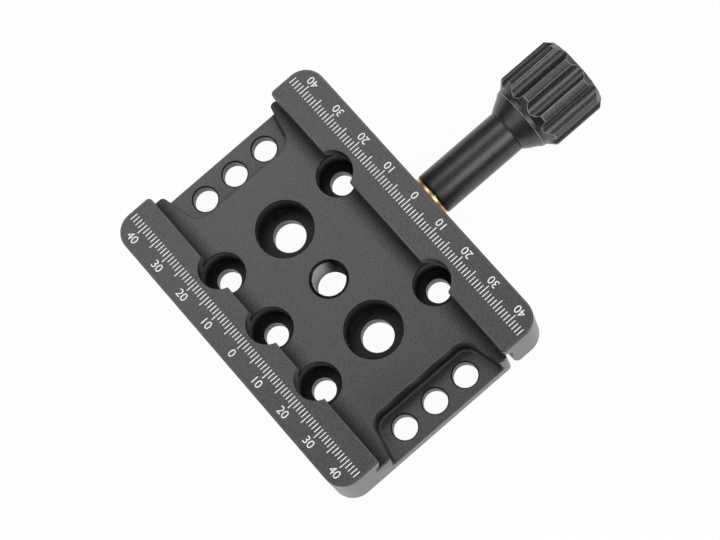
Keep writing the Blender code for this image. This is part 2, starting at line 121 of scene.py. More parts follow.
class Finish:
    """One material and the nodes that work it out."""

    def __init__(self, name):
        self.material = bpy.data.materials.new(name)
        self.material.use_nodes = True
        self.tree = self.material.node_tree
        self.shader = self.tree.nodes["Principled BSDF"]

    def node(self, kind, sockets, output=0, **settings):
        """Adds a node: its settings first, then the values or links of its sockets."""
        made = self.tree.nodes.new(kind)
        for key, value in settings.items():
            setattr(made, key, value)
        for key, value in sockets.items():
            self.feed(made.inputs[key], value)
        return Value(made.outputs[output])

    def feed(self, socket, value):
        if isinstance(value, Value):
            self.tree.links.new(value.socket, socket)
        else:
            socket.default_value = value

    def surface(self, **values):
        """Feeds the shader's own sockets; an underscore in a name stands for a space."""
        for key, value in values.items():
            self.feed(self.shader.inputs[key.replace("_", " ")], value)

    def place_on_object(self):
        """The place in the object's own frame."""
        object_output = 3
        return self.node("ShaderNodeTexCoord", {}, object_output)

    def coordinate(self, place, axis):
        """One coordinate of a place: axis 0, 1 or 2 for x, y or z."""
        return self.node("ShaderNodeSeparateXYZ", {0: place}, axis)

    def noise(self, place, scale, detail, roughness=0.5):
        """A random value from 0 to 1 round 0.5, with about as many lumps to the metre as the scale says."""
        sockets = {"Vector": place, "Scale": scale, "Detail": detail, "Roughness": roughness}
        return self.node("ShaderNodeTexNoise", sockets)

    def bump(self, height, strength, distance):
        """The normal of a relief, whose height goes over the distance as the value goes from 0 to 1."""
        return self.node("ShaderNodeBump", {"Height": height, "Strength": strength, "Distance": distance})

    def mixed(self, share, first, second):
        """Between two colours, by a share from 0 to 1."""
        sockets = {0: share, 6: first, 7: second}
        return self.node("ShaderNodeMix", sockets, 2, data_type="RGBA")


white_table = Finish("white_table")
seen = white_table.tree.nodes.new("ShaderNodeLightPath").outputs
looked_at = Value(seen["Is Camera Ray"])
for kind in ("Is Glossy Ray", "Is Transmission Ray"):
    looked_at = looked_at.largest(Value(seen[kind]))
glow_share = looked_at * 0.96
paper = white_table.node("ShaderNodeBsdfDiffuse", {"Color": (0.86, 0.86, 0.86, 1.0)})
glow = white_table.node("ShaderNodeEmission", {"Color": (1.0, 1.0, 1.0, 1.0), "Strength": 1.0})
backdrop = white_table.node("ShaderNodeMixShader", {0: glow_share, 1: paper, 2: glow})
white_table.feed(white_table.tree.nodes["Material Output"].inputs["Surface"], backdrop)

table_edge_y = -32.9 * mm
knob_rest_y = 66.5 * mm
knob_drop = 4.0 * mm
table_slope = knob_drop / (knob_rest_y - table_edge_y)
table_gap = 0.05 * mm
reach = 3.0
table_mesh = bpy.data.meshes.new("table")
table_corners = []
for x, y in ((-reach, -reach), (reach, -reach), (reach, reach), (-reach, reach)):
    table_corners.append((x, y, -(y - table_edge_y) * table_slope - table_gap))
table_mesh.from_pydata(table_corners, [], [(0, 1, 2, 3)])
table_mesh.materials.append(white_table.material)
table = placed("table", table_mesh)

world = bpy.data.worlds.new("pale_room")
bpy.context.scene.world = world
world.use_nodes = True
room = world.node_tree
room_glow = room.nodes["Background"]
room_glow.inputs["Color"].default_value = (1.0, 1.0, 1.0, 1.0)
room_seen = Value(room.nodes.new("ShaderNodeLightPath").outputs["Is Camera Ray"])
room_way = room.nodes.new("ShaderNodeSeparateXYZ")
room.links.new(room.nodes.new("ShaderNodeTexCoord").outputs["Generated"], room_way.inputs[0])
from_above = 0.28
all_round = 0.06
room_light = Value(room_way.outputs["Z"]).largest(0.0) * from_above + all_round
room_strength = room_seen * (1.0 - room_light) + room_light
room.links.new(room_strength.socket, room_glow.inputs["Strength"])
lamp_aim = Vector((0.0, 0.02, 0.0))


def soft_lamp(name, place, width, length, power):
    """A rectangular lamp that shines from a place at the aim, with its length over the clamp's own length."""
    data = bpy.data.lights.new(name, "AREA")
    data.shape = "RECTANGLE"
    data.size = width
    data.size_y = length
    data.energy = power
    lamp = placed(name, data)
    back = (Vector(place) - lamp_aim).normalized()
    ahead = (Vector((0.0, 1.0, 0.0)) - back * back.y).normalized()
    turn = Matrix((ahead.cross(back), ahead, back)).transposed()
    lamp.matrix_world = Matrix.Translation(place) @ turn.to_4x4()


soft_lamp("right_lamp", (0.62, 0.14, 0.76), width=0.5, length=1.1, power=5.3)
soft_lamp("left_lamp", (-0.42, 0.14, 0.90), width=0.42, length=1.1, power=3.0)
soft_lamp("knob_side_lamp", (0.0, 1.0, 0.5), width=0.9, length=0.5, power=1.3)
soft_lamp("near_side_lamp", (-0.1, -0.85, 0.45), width=0.6, length=0.4, power=1.5)


# The base with its fixed jaw: one block of aluminium, milled to a channel with a dovetail lip, bored, bead
# blasted and anodised black. A tongue on its far side reaches into the sliding jaw.
def face_outwards(mesh, weld=None):
    """Turns all faces of a mesh outwards, with points closer than the weld made one first, if it is given."""
    work = bmesh.new()
    work.from_mesh(mesh)
    if weld is not None:
        bmesh.ops.remove_doubles(work, verts=work.verts, dist=weld)
    bmesh.ops.recalc_face_normals(work, faces=work.faces)
    work.to_mesh(mesh)
    work.free()


def lofted(name, rings, finish, closed=False):
    """A skin over rings of points: each point, the next one and the same two on the next ring make one face.

    The first and last ring are filled, unless the rings themselves close on each other.
    """
    count, around, _ = rings.shape
    ring, point = np.meshgrid(np.arange(count if closed else count - 1), np.arange(around), indexing="ij")
    next_ring = (ring + 1) % count
    next_point = (point + 1) % around
    corners = ((ring, point), (ring, next_point), (next_ring, next_point), (next_ring, point))
    faces = np.stack([on_ring * around + at for on_ring, at in corners], axis=-1).reshape(-1, 4).tolist()
    if not closed:
        faces.append(list(range(around))[::-1])
        faces.append(list(range((count - 1) * around, count * around)))
    mesh = bpy.data.meshes.new(name)
    mesh.from_pydata(rings.reshape(-1, 3).tolist(), [], faces)
    mesh.materials.append(finish.material)
    face_outwards(mesh)
    return placed(name, mesh)


def rounded_plan(corners, inset):
    """Points round a counterclockwise plan of (x, y, radius) corners, moved inwards.

    At each corner the side's direction turns through the corner's angle in equal steps, on an arc that
    touches both sides. An inset takes its amount off an outer corner's radius and adds it to an inner one's.
    """
    steps = 12
    least_radius = 0.01 * mm
    corners = np.asarray(corners, float)
    here = corners[:, :2]
    before = here - np.roll(here, 1, axis=0)
    before /= np.linalg.norm(before, axis=1, keepdims=True)
    after = np.roll(before, -1, axis=0)
    cross = before[:, 0] * after[:, 1] - before[:, 1] * after[:, 0]
    dot = (before * after).sum(axis=1)
    bend = np.arctan2(cross, dot)
    inward = np.stack([-before[:, 1], before[:, 0]], axis=1)
    inward_after = np.stack([-after[:, 1], after[:, 0]], axis=1)
    tip = here + inset * (inward + inward_after) / (1 + dot)[:, None]
    radius = np.maximum(corners[:, 2] - np.sign(bend) * inset, least_radius)
    start = tip - before * (radius * np.tan(np.abs(bend) / 2))[:, None]
    arm = -inward * (np.sign(bend) * radius)[:, None]
    centre = start - arm
    angle = bend[:, None] * np.linspace(0, 1, steps + 1)
    x = centre[:, :1] + np.cos(angle) * arm[:, :1] - np.sin(angle) * arm[:, 1:]
    y = centre[:, 1:] + np.sin(angle) * arm[:, :1] + np.cos(angle) * arm[:, 1:]
    return np.stack([x, y], axis=-1).reshape(-1, 2)


def level(plan, height):
    """One ring of points: a plan at a height."""
    return np.column_stack([plan, np.full(len(plan), height)])


def planned_block(name, corners, profile, finish):
    """A block over a rounded plan: each (height, inset) of the profile is one ring of the plan."""
    rings = [level(rounded_plan(corners, inset), height) for height, inset in profile]
    return lofted(name, np.array(rings), finish)


def long_bar(name, section, reach, finish):
    """A bar along X with one (y, z) section, from -reach to reach."""
    section = np.array(section)
    rings = [np.column_stack([np.full(len(section), x), section]) for x in (-reach, reach)]
    return lofted(name, np.array(rings), finish)


def swept_round(profile, centre, axis, segments=96):
    """Rings of a turned solid: each (distance, radius) pair of the profile goes once round the axis."""
    profile = np.array(profile, float)
    angle = np.linspace(0, math.tau, segments, endpoint=False)
    across = profile[:, 1][:, None] * np.cos(angle)
    aside = profile[:, 1][:, None] * np.sin(angle)
    along = np.broadcast_to(profile[:, 0][:, None], across.shape)
    if axis == "Z":
        return np.stack([across, aside, along], axis=-1) + np.array(centre)
    return np.stack([across, along, aside], axis=-1) + np.array(centre)


def worked_out(thing):
    """The mesh of an object's text, or of its own mesh with all its modifiers."""
    bpy.context.view_layer.update()
    return bpy.data.meshes.new_from_object(thing.evaluated_get(bpy.context.evaluated_depsgraph_get()))


def carve(solid, cutters, operation="DIFFERENCE"):
    """Takes the cutters out of the solid for good; the new faces keep the cutter's finish."""
    for cutter in cutters:
        step = solid.modifiers.new(cutter.name, "BOOLEAN")
        step.operation = operation
        step.solver = "EXACT"
        step.material_mode = "TRANSFER"
        step.object = cutter
    made = worked_out(solid)
    solid.modifiers.clear()
    solid.data = made
    for cutter in cutters:
        bpy.data.objects.remove(cutter)


def shade(piece, degrees):
    """Smooth shading, with edges sharper than the angle left sharp."""
    piece.data.shade_smooth()
    piece.data.set_sharp_from_angle(angle=math.radians(degrees))


def ease_edges(solid, width, finish, crisp=()):
    """Rounds every outer edge sharper than 32 degrees, as a deburring wheel does, with a finish of its own.

    Edges of faces with one of the crisp finishes are left as they are.
    """
    sharp = 32.0
    nearly_flat = 0.2
    weld = 0.012 * mm
    left_out = [solid.data.materials.find(each.material.name) for each in crisp]
    solid.data.materials.append(finish.material)
    work = bmesh.new()
    work.from_mesh(solid.data)
    bmesh.ops.remove_doubles(work, verts=work.verts, dist=weld)
    bmesh.ops.dissolve_limit(
        work, angle_limit=math.radians(nearly_flat), verts=work.verts, edges=work.edges, delimit={"MATERIAL"}
    )
    share = work.edges.layers.float.new("bevel_weight_edge")
    for edge in work.edges:
        worn_and_lit = all(face.material_index not in left_out for face in edge.link_faces)
        if worn_and_lit and edge.is_manifold and edge.calc_face_angle_signed() > math.radians(sharp):
            edge[share] = 1.0
    work.to_mesh(solid.data)
    work.free()
    shade(solid, sharp)
    step = solid.modifiers.new("eased_edges", "BEVEL")
    step.width = width
    step.segments = 2
    step.limit_method = "WEIGHT"
    step.use_clamp_overlap = False
    step.harden_normals = True
    step.material = len(solid.data.materials) - 1
    made = worked_out(solid)
    solid.modifiers.clear()
    solid.data = made


blasted = Finish("anodised_blasted")
place = blasted.place_on_object()
grain = blasted.noise(place, scale=2600.0, detail=4.0, roughness=0.6)
cloud = blasted.noise(place, scale=55.0, detail=2.0)
# In the corners beside the lips and at the pockets' inner walls, shade is painted in: the colour, the glint
# and the coat are turned down there, so these corners are darker and softer.
channel_middle_y = -0.6 * mm
along_jaws = blasted.coordinate(place, 0).size()
off_middle = (blasted.coordinate(place, 1) - channel_middle_y).size()
height = blasted.coordinate(place, 2)
sharp_step = 9000.0
soft_step = 1500.0
lip_fade = 210.0
wall_fade = 300.0
in_channel = ((11.6 * mm - height) * sharp_step).held(0.0, 1.0)
below_floor = ((11.0 * mm - height) * soft_step).smallest((height - 3.0 * mm) * sharp_step)
in_pocket = below_floor.smallest((19.0 * mm - off_middle) * sharp_step).held(0.0, 1.0)
inside_lips = (21.2 * mm - off_middle) * sharp_step
within = inside_lips.smallest((45.0 * mm - along_jaws) * sharp_step).held(0.0, 1.0)
beside_lips = ((off_middle - 15.6 * mm) * lip_fade).held(0.0, 0.85) * within
beside_wall = ((37.2 * mm - along_jaws) * wall_fade).held(0.0, 0.8)
painted_corner_shade = (beside_lips * in_channel).largest(beside_wall * in_pocket)
grain_contrast = 4.4
cloud_contrast = 0.6
tone = (grain - 0.5) * grain_contrast * (1.0 - painted_corner_shade * 0.5) + (cloud - 0.5) * cloud_contrast + 0.5
glint = (0.57 - grain) * 1.8
deep_black = (0.001, 0.001, 0.001, 1.0)
blasted.surface(
    Base_Color=blasted.mixed(tone, deep_black, (0.027, 0.027, 0.0275, 1.0)),
    Roughness=grain * 0.30 + 0.40,
    IOR=1.68,
    Metallic=glint * (1.0 - painted_corner_shade * 0.7) + painted_corner_shade * 0.75,
    Coat_Weight=0.7 - painted_corner_shade * 0.7,
    Coat_Roughness=0.3,
    Normal=blasted.bump(grain, strength=0.6, distance=0.03 * mm),
)

bored = Finish("anodised_bored")
place = bored.place_on_object()
along_jaws = bored.coordinate(place, 0).size()
height = bored.coordinate(place, 2)
fine = bored.noise(place, scale=900.0, detail=2.0)
feed = 0.55 * mm
feed_marks = (height * (math.tau / feed) + fine * 5.0).wave()
# Low down in the holes, and most of all in the end holes, the walls are made less metallic and so brighter:
# painted light on their lower part.
at_ends = ((along_jaws - 34.0 * mm) * 2000.0).held(0.3, 1.0)
low_down = ((3.5 * mm - height) * 6000.0).held(0.0, 0.4)
bored.surface(
    Base_Color=bored.mixed(feed_marks, deep_black, (0.016, 0.016, 0.0162, 1.0)),
    Roughness=feed_marks * 0.10 + 0.34,
    Metallic=0.4 - low_down * at_ends,
    IOR=1.4,
    Normal=bored.bump(feed_marks, strength=0.3, distance=0.02 * mm),
)

# The eased edges are a lighter grey than the faces beside them: a painted highlight along the edges.
edge_highlight = Finish("anodised_edge_highlight")
edge_mottle = edge_highlight.noise(edge_highlight.place_on_object(), scale=700.0, detail=4.0, roughness=0.65)
edge_highlight.surface(
    Base_Color=edge_highlight.mixed(edge_mottle, (0.02, 0.02, 0.0204, 1.0), (0.16, 0.16, 0.163, 1.0)),
    Roughness=edge_mottle * 0.15 + 0.28,
    IOR=1.77,
)

length = 90.7 * mm
floor_z = 11.2 * mm
top_z = 17.6 * mm
sink_floor_z = 3.9 * mm
jaw_width = 12.7 * mm
jaw_corner = 5.7 * mm
lip_corner = 1.2 * mm
fixed_lip_y = -20.5 * mm
fixed_back_y = fixed_lip_y - jaw_width
side_y = 20.4 * mm
tongue_y = 27.5 * mm
tongue_x = 33.15 * mm
tongue_corner = 1.5 * mm
land = 3.0 * mm
undercut = 1.35 * mm
burr = 0.15 * mm
foot_z = 0.3 * mm
past = 2.0 * mm
screw_z = 7.0 * mm
large_x = 17.5 * mm
small_pitch = 19.0 * mm
end_hole_x = 39.85 * mm
end_hole_pitch = 9.95 * mm
pin_x = 28.65 * mm
spring_x = 9.6 * mm

end = length / 2
base_plan = [
    (-end, fixed_back_y, jaw_corner),
    (end, fixed_back_y, jaw_corner),
    (end, side_y, lip_corner),
    (tongue_x, side_y, 0.6 * mm),
    (tongue_x, tongue_y, tongue_corner),
    (-tongue_x, tongue_y, tongue_corner),
    (-tongue_x, side_y, 0.6 * mm),
    (-end, side_y, lip_corner),
]
fixed_jaw_plan = [
    (-end, fixed_back_y, jaw_corner),
    (end, fixed_back_y, jaw_corner),
    (end, fixed_lip_y, lip_corner),
    (-end, fixed_lip_y, lip_corner),
]
fixed_jaw_section = [
    (fixed_back_y - past, foot_z),
    (fixed_lip_y - undercut, foot_z),
    (fixed_lip_y - undercut, top_z - land - undercut),
    (fixed_lip_y, top_z - land),
    (fixed_lip_y, top_z + past),
    (fixed_back_y - past, top_z + past),
]


def sink_and_hole(name, x, y, hole, sink, top):
    """A cutter for a counterbored hole, with the small cones that break its lower edges."""
    rim = 0.2 * mm
    profile = [
        (-past, hole + burr),
        (0.0, hole + burr),
        (burr, hole),
        (sink_floor_z - burr, hole),
        (sink_floor_z, hole + burr),
        (sink_floor_z, sink),
        (floor_z - rim, sink),
        (floor_z, sink + rim),
        (floor_z, sink),
        (top + past, sink),
    ]
    return lofted(name, swept_round(profile, (x, y, 0.0), "Z"), bored)


def straight_hole(name, x, y, radius, mouth, top):
    """A cutter for a plain hole, wider by a cone at both faces."""
    cone = mouth - radius
    profile = [
        (-past, radius + burr),
        (0.0, radius + burr),
        (burr, radius),
        (top - cone, radius),
        (top, mouth),
        (top + past, mouth),
    ]
    return lofted(name, swept_round(profile, (x, y, 0.0), "Z"), bored)


def blind_hole(name, x, depth, radius):
    """A cutter for a round hole from the tongue's end towards the fixed jaw."""
    profile = [(-depth, radius), (past, radius)]
    return lofted(name, swept_round(profile, (x, tongue_y, screw_z), "Y", segments=48), bored)


def end_pocket(name, side):
    """A cutter for an open pocket: flared walls, round corners and a floor with a fillet all round."""
    wall_x = end - 11.3 * mm
    inner_half = 15.3 * mm
    inner_corner = 4.0 * mm
    outer_half = 18.0 * mm
    outer_corner = 1.3 * mm
    mouth_x = end + 0.01 * mm
    far_x = end + 6.0 * mm
    wide = outer_half + 4.0 * mm
    corners = np.array([
        (wall_x, inner_half, inner_corner),
        (wall_x, -inner_half, inner_corner),
        (mouth_x, -outer_half, outer_corner),
        (mouth_x, -wide, 0.0),
        (far_x, -wide, 0.0),
        (far_x, wide, 0.0),
        (mouth_x, wide, 0.0),
        (mouth_x, outer_half, outer_corner),
    ])
    if side < 0:
        corners = corners[::-1] * (-1, 1, 1)
    fillet = 1.0 * mm
    lip = 0.4 * mm
    angle = np.linspace(0, math.pi / 2, 7)
    profile = list(zip(sink_floor_z + fillet * (1 - np.cos(angle)), fillet * (1 - np.sin(angle))))
    profile += zip(floor_z - lip * (1 - np.sin(angle)), -lip * (1 - np.cos(angle)))
    return planned_block(name, corners, profile + [(floor_z + past, -lip)], blasted)


fixed_jaw_profile = [(foot_z, 0.0), (top_z - burr, 0.0), (top_z, burr)]
base = planned_block("base_block", base_plan, [(0.0, burr), (burr, 0.0), (floor_z, 0.0)], blasted)
fixed_jaw = planned_block("fixed_jaw", fixed_jaw_plan, fixed_jaw_profile, blasted)
carve(fixed_jaw, [long_bar("fixed_jaw_section", fixed_jaw_section, end + past, blasted)], "INTERSECT")
carve(base, [fixed_jaw], "UNION")
cutters = []
for side in (-1, 1):
    cutters.append(end_pocket(f"pocket_{side}", side))
    large = {"hole": 4.3 * mm, "sink": 7.45 * mm, "top": floor_z}
    cutters.append(sink_and_hole(f"large_{side}", side * large_x, 0.0, **large))
    cutters.append(blind_hole(f"pin_hole_{side}", side * pin_x, depth=14.8 * mm, radius=1.6 * mm))
    cutters.append(blind_hole(f"spring_hole_{side}", side * spring_x, depth=10.0 * mm, radius=2.3 * mm))
    for row in (-1, 0, 1):
        plain = {"radius": 3.25 * mm, "mouth": 3.6 * mm, "top": sink_floor_z}
        cutters.append(straight_hole(f"end_{side}_{row}", side * end_hole_x, row * end_hole_pitch, **plain))
for column, row in ((-1, -1), (0, -1), (1, -1), (-1, 1), (1, 1)):
    small = {"hole": 3.15 * mm, "sink": 5.5 * mm, "top": top_z}
    x, y = column * small_pitch, row * small_pitch
    cutters.append(sink_and_hole(f"small_{column}_{row}", x, y, **small))
cutters.append(blind_hole("screw_hole", 0.0, depth=20.8 * mm, radius=3.1 * mm))
carve(base, cutters)


# The tapped hole in the middle takes the tripod's screw: a 3/8 inch thread, 16 turns to the inch, under a
# conical mouth. Its edges stay crisp, like those of the bored holes, when the base's other edges are eased.
def threaded_rings(start, stop, pitch, crest, root, centre, axis, around):
    """Rings of a screw surface: a right-hand thread that climbs by one pitch as it goes once round the axis.

    The radius runs between root and crest in a triangle wave, cut off flat at both.
    """
    per_turn = 12
    flank_slope = 2.6
    crest_share = 0.15
    along = np.linspace(start, stop, max(2, int(round((stop - start) / pitch * per_turn))))
    angle = np.linspace(0, math.tau, around, endpoint=False)
    phase = (along[:, None] / pitch - angle[None, :] / math.tau) % 1.0
    wave = np.clip(np.abs(phase - 0.5) * flank_slope - crest_share, 0.0, 1.0)
    radius = root + (crest - root) * wave
    if axis == "Z":
        x = radius * np.cos(angle)
        y = radius * np.sin(angle)
        z = np.broadcast_to(along[:, None], radius.shape)
    else:
        x = radius * np.cos(-angle)
        y = np.broadcast_to(along[:, None], radius.shape)
        z = radius * np.sin(-angle)
    return np.stack([x, y, z], axis=-1) + np.array(centre)


tripod_pitch = 25.4 / 16 * mm
# Its finish shows the grey of bare, tapped metal on the thread. It is painted lighter on the flanks and
# darker in the roots as light and shade, the wall towards +Y is painted dark as shade, and the conical mouth
# is painted almost black as shade.
tapped = Finish("tapped_thread")
place = tapped.place_on_object()
shaded_far_side = (tapped.coordinate(place, 1) * 320.0).held(0.0, 1.0)
height = tapped.coordinate(place, 2)
chatter = tapped.noise(place, scale=1500.0, detail=3.0)
turns = (height * (math.tau / tripod_pitch) + chatter * 1.5).wave()
bare_and_lit = (turns * 1.6 - 0.3) * (1.0 - shaded_far_side)
worn_and_lit = tapped.mixed(bare_and_lit, (0.004, 0.004, 0.004, 1.0), (0.46, 0.46, 0.47, 1.0))
shaded_mouth = (height - 10.3 * mm) * 12000.0
tapped.surface(
    Base_Color=tapped.mixed(shaded_mouth, worn_and_lit, (0.003, 0.003, 0.003, 1.0)),
    Roughness=chatter * 0.2 + 0.3,
    Metallic=0.5 - bare_and_lit * 0.5,
)

tap = threaded_rings(
    -1.4 * mm, floor_z - 0.2 * mm, tripod_pitch, crest=4.18 * mm, root=4.76 * mm,
    centre=(0.0, 0.0, 0.8 * mm), axis="Z", around=72,
)
from_axis = np.linalg.norm(tap[:, :, :2], axis=2)
mouth = 5.15 * mm
widest = mouth + 0.6 * mm
foot_flare = 0.8
cone_top = mouth - (floor_z - tap[:, :, 2])
cone_foot = mouth - tap[:, :, 2] * foot_flare
wanted = np.maximum(from_axis, np.minimum(np.maximum(cone_top, cone_foot), widest))
tap[:, :, :2] *= (wanted / from_axis)[:, :, None]
carve(base, [lofted("tap", tap, tapped)])
eased_width = 0.22 * mm
ease_edges(base, eased_width, edge_highlight, crisp=(bored, tapped))
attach(base, "base")
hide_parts("clamp_body")


# The scale on the fixed jaw: a fine laser burns the black layer off to white, a tick to each millimetre from
# 44 to 44, a longer one at each fifth, and a number at each tenth. No finger feels the depth of the marks.
laser_mark = Finish("laser_mark")
speckle = laser_mark.noise(laser_mark.place_on_object(), scale=5200.0, detail=2.0)
laser_mark.surface(
    Base_Color=laser_mark.mixed(speckle, (0.90, 0.90, 0.90, 1.0), (0.99, 0.99, 0.99, 1.0)),
    Roughness=0.65,
)
mark_rise = 0.008 * mm
mark_sink = 0.02 * mm
last_tick = 44


def ticks(first_y, short_y, long_y):
    """Corners and faces of all ticks: a thin slab for each millimetre, which ends at short_y or long_y."""
    stroke = 0.24 * mm
    number = np.arange(-last_tick, last_tick + 1)
    far = np.where(number % 5 == 0, long_y, short_y)
    x = np.stack([number * mm - stroke / 2, number * mm + stroke / 2], axis=1)
    slabs = np.zeros((len(number), 2, 4, 3))
    slabs[:, :, (0, 3), 0] = x[:, None, :1]
    slabs[:, :, (1, 2), 0] = x[:, None, 1:]
    slabs[:, :, :2, 1] = first_y
    slabs[:, :, 2:, 1] = far[:, None, None]
    slabs[:, 0, :, 2] = top_z - mark_sink
    slabs[:, 1, :, 2] = top_z + mark_rise
    corner = np.arange(len(number))[:, None, None] * 8
    box_faces = np.array([(0, 3, 2, 1), (4, 5, 6, 7), (0, 1, 5, 4), (1, 2, 6, 5), (2, 3, 7, 6), (3, 0, 4, 7)])
    return slabs.reshape(-1, 3), (box_faces[None] + corner).reshape(-1, 4)


def numerals(centre_y, height, facing):
    """Corners and faces of the numbers 40 to 0 to 40, from the built-in letters, scaled to a height.

    facing 1 puts their heads towards +Y, and -1 turns them round to -Y.
    """
    points = []
    faces = []
    for tens in range(-4, 5):
        letters = bpy.data.curves.new("numeral", "FONT")
        letters.body = str(abs(tens) * 10)
        letters.align_x = "CENTER"
        letters.extrude = 0.5
        writing = placed("numeral", letters)
        flat = worked_out(writing)
        corner = np.zeros(len(flat.vertices) * 3)
        flat.vertices.foreach_get("co", corner)
        corner = corner.reshape(-1, 3)
        low, high = corner.min(axis=0), corner.max(axis=0)
        scale = height / (high[1] - low[1])
        place = (corner - (low + high) / 2) * scale
        x = tens * 10 * mm + facing * place[:, 0]
        y = centre_y + facing * place[:, 1]
        z = np.where(corner[:, 2] > 0, top_z + mark_rise, top_z - mark_sink)
        start = sum(len(block) for block in points)
        points.append(np.stack([x, y, z], axis=1))
        faces += [[start + index for index in face.vertices] for face in flat.polygons]
        bpy.data.objects.remove(writing)
    return np.concatenate(points), faces


def scale_marks(name, ticks_made, numerals_made, body):
    """One piece from the ticks' and the numerals' corners and faces."""
    tick_points, tick_faces = ticks_made
    number_points, number_faces = numerals_made
    mesh = bpy.data.meshes.new(name)
    shift = len(tick_points)
    faces = tick_faces.tolist() + [[shift + index for index in face] for face in number_faces]
    mesh.from_pydata(np.concatenate([tick_points, number_points]).tolist(), [], faces)
    mesh.materials.append(laser_mark.material)
    face_outwards(mesh, weld=0.0005 * mm)
    marks = placed(name, mesh)
    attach(marks, body)


fixed_ticks = ticks(first_y=-25.6 * mm, short_y=-27.8 * mm, long_y=-28.8 * mm)
fixed_numerals = numerals(centre_y=-30.4 * mm, height=2.2 * mm, facing=1)
scale_marks("fixed_scale", fixed_ticks, fixed_numerals, "base")


# The sliding jaw: the same bar and finish, with its own dovetail lip. Two notches leave the counterbores
# open, and it is hollow below for the base's tongue. Its back wall carries the screw and the two guide pins.
moving_lip_y = fixed_lip_y + 40.2 * mm
moving_back_y = moving_lip_y + jaw_width
leg_y = side_y + 1.3 * mm
wall_y = tongue_y + 1.3 * mm
slope_foot_z = top_z - land - (leg_y - moving_lip_y)
clearance = 0.3 * mm
jaw_section = [
    (leg_y, -past),
    (moving_back_y + past, -past),
    (moving_back_y + past, top_z + past),
    (moving_lip_y, top_z + past),
    (moving_lip_y, top_z - land),
    (leg_y, slope_foot_z),
]
whole_height = [(0.0, burr), (burr, 0.0), (top_z - burr, 0.0), (top_z, burr)]
jaw_plan = [
    (-end, moving_lip_y, lip_corner),
    (end, moving_lip_y, lip_corner),
    (end, moving_back_y, jaw_corner),
    (-end, moving_back_y, jaw_corner),
]
room_x = tongue_x + clearance
room_plan = [
    (-room_x, moving_lip_y - past, 0.0),
    (room_x, moving_lip_y - past, 0.0),
    (room_x, wall_y, tongue_corner),
    (-room_x, wall_y, tongue_corner),
]
jaw = long_bar("jaw_block", jaw_section, end + past, blasted)
carve(jaw, [planned_block("jaw_plan", jaw_plan, whole_height, blasted)], "INTERSECT")
cutters = [planned_block("tongue_room", room_plan, [(-past, 0.0), (floor_z + clearance, 0.0)], blasted)]
notch_y = 18.05 * mm
notch = [(-past, 5.6 * mm), (top_z + past, 5.6 * mm)]
socket = [(-past, 1.6 * mm), (2.7 * mm, 1.6 * mm)]
for side in (-1, 1):
    notch_rings = swept_round(notch, (side * small_pitch, notch_y, 0.0), "Z")
    cutters.append(lofted(f"notch_{side}", notch_rings, bored))
    socket_rings = swept_round(socket, (side * pin_x, wall_y, screw_z), "Y", segments=48)
    cutters.append(lofted(f"pin_{side}", socket_rings, bored))
screw_way = 3.3 * mm
through = [(-past, screw_way), (moving_back_y - wall_y + past, screw_way)]
cutters.append(lofted("screw_way", swept_round(through, (0.0, wall_y, screw_z), "Y", segments=64), bored))
leg_corner = 1.5 * mm
turn_angle = np.linspace(0, math.pi / 2, 9)
arc_x = end - leg_corner * (1 - np.cos(turn_angle))
arc_y = leg_y + leg_corner * (1 - np.sin(turn_angle))
outside = [(end - leg_corner, leg_y - past), (end + past, leg_y - past), (end + past, leg_y + leg_corner)]
for side in (-1, 1):
    plan = np.concatenate([np.stack([arc_x, arc_y], axis=1), outside]) * (side, 1)
    rings = np.array([level(plan, -past), level(plan, slope_foot_z)])
    cutters.append(lofted(f"leg_corner_{side}", rings, blasted))
carve(jaw, cutters)
ease_edges(jaw, eased_width, edge_highlight, crisp=(bored,))
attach(jaw, "jaw")
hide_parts("moving_jaw")


# The scale on the sliding jaw: white laser marks like those of the fixed jaw, burnt into its anodised top,
# with the heads of the numbers turned towards the channel.
moving_ticks = ticks(first_y=25.1 * mm, short_y=27.3 * mm, long_y=28.2 * mm)
moving_numerals = numerals(centre_y=29.6 * mm, height=2.15 * mm, facing=-1)
scale_marks("moving_scale", moving_ticks, moving_numerals, "jaw")


# The clamp screw: a steel rod with a 1 mm thread where it runs in the base, plain where it goes through the
# jaw, the washer and the sleeve, and glued into the knob at its far end.
steel = Finish("ground_steel")
streak_scale = (900.0, 9000.0, 900.0)
streak = steel.node("ShaderNodeMapping", {"Vector": steel.place_on_object(), "Scale": streak_scale})
lines = steel.noise(streak, scale=1.0, detail=2.0)
steel.surface(
    Base_Color=steel.mixed(lines, (0.42, 0.42, 0.43, 1.0), (0.62, 0.62, 0.63, 1.0)),
    Metallic=1.0,
    Roughness=lines * 0.15 + 0.22,
)
washer_y = moving_back_y + 0.3 * mm
sleeve_y = washer_y + 1.3 * mm
knob_y = sleeve_y + 24.7 * mm
screw_start = 8.0 * mm
screw_end = knob_y + 17.0 * mm
thread_end = 28.4 * mm
screw_thread = threaded_rings(
    screw_start, thread_end, 1.0 * mm, crest=3.0 * mm, root=2.45 * mm,
    centre=(0.0, 0.0, screw_z), axis="Y", around=48,
)
tip_share = 0.78
tip_length = 0.9 * mm
along_tip = (screw_thread[:, :, 1] - screw_start) / tip_length
taper = np.minimum(1.0, tip_share + along_tip * (1.0 - tip_share))[:, :, None]
screw_axis = np.array((0.0, screw_z))
screw_thread[:, :, (0, 2)] = screw_axis + (screw_thread[:, :, (0, 2)] - screw_axis) * taper
shank_radius = 2.95 * mm
shank = [(thread_end + 0.3 * mm, shank_radius), (screw_end - 0.6 * mm, shank_radius), (screw_end, 2.4 * mm)]
shank_rings = swept_round(shank, (0.0, 0.0, screw_z), "Y", segments=48)[:, ::-1]
turned_back = np.roll(shank_rings, 1, axis=1)
screw = lofted("screw_rod", np.concatenate([screw_thread, turned_back]), steel)
shade(screw, degrees=35)
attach(screw, "knob")
